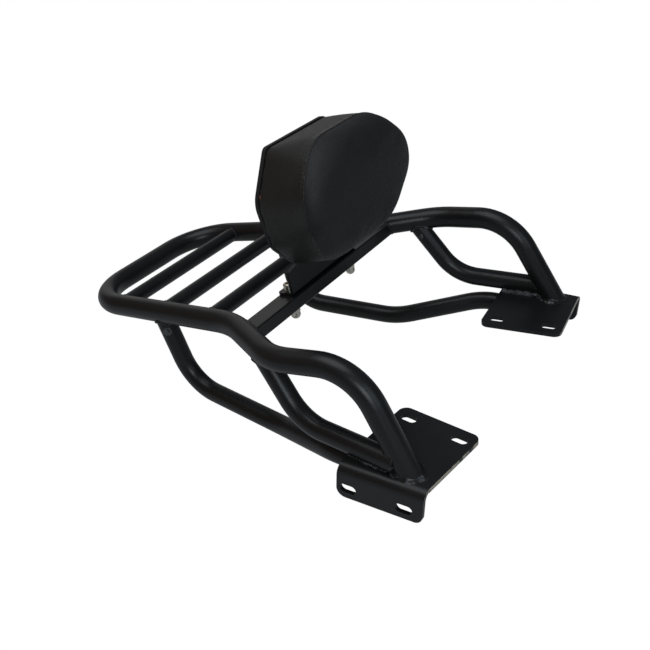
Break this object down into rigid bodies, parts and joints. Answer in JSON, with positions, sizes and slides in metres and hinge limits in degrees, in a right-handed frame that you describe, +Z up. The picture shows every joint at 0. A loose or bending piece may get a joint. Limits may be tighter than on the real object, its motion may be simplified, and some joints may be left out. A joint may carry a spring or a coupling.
{
  "type": "motorcycle luggage rack with backrest",
  "caption": "Black tubular steel motorcycle luggage rack with a padded passenger backrest, bent hoop, cross tubes, stays and slotted side plates.",
  "frame": {"origin": "midway between the two mounting plates, on the level underside of their leaves", "axes": "+X to the front of the motorcycle, +Y to its left, +Z up, square to the leaves of the mounting plates"},
  "size_m": [0.4665, 0.354, 0.2698],
  "materials": {
    "frame_steel": "satin",
    "zinc_fastener": "satin",
    "black_screw": "satin",
    "board_plastic": "matte",
    "pad_vinyl": "satin"
  },
  "bodies": {
    "root": {"hoop": "frame_steel", "cross_tube_rear": "frame_steel", "cross_tube_middle": "frame_steel", "cross_tube_front": "frame_steel", "crossbar": "frame_steel", "stay_left": "frame_steel", "stay_right": "frame_steel", "brace_left": "frame_steel", "brace_right": "frame_steel", "mount_plate_left": "frame_steel", "mount_plate_right": "frame_steel", "backrest_bracket": "frame_steel", "backing_board": "board_plastic", "pad": "pad_vinyl", "bolt_left": "zinc_fastener", "head_washer_left": "zinc_fastener", "nut_washer_left": "zinc_fastener", "dome_nut_left": "zinc_fastener", "bolt_right": "zinc_fastener", "head_washer_right": "zinc_fastener", "nut_washer_right": "zinc_fastener", "dome_nut_right": "zinc_fastener", "board_screw_a": "black_screw", "board_screw_b": "black_screw", "board_screw_c": "black_screw", "board_screw_d": "black_screw"}
  },
  "joints": []
}
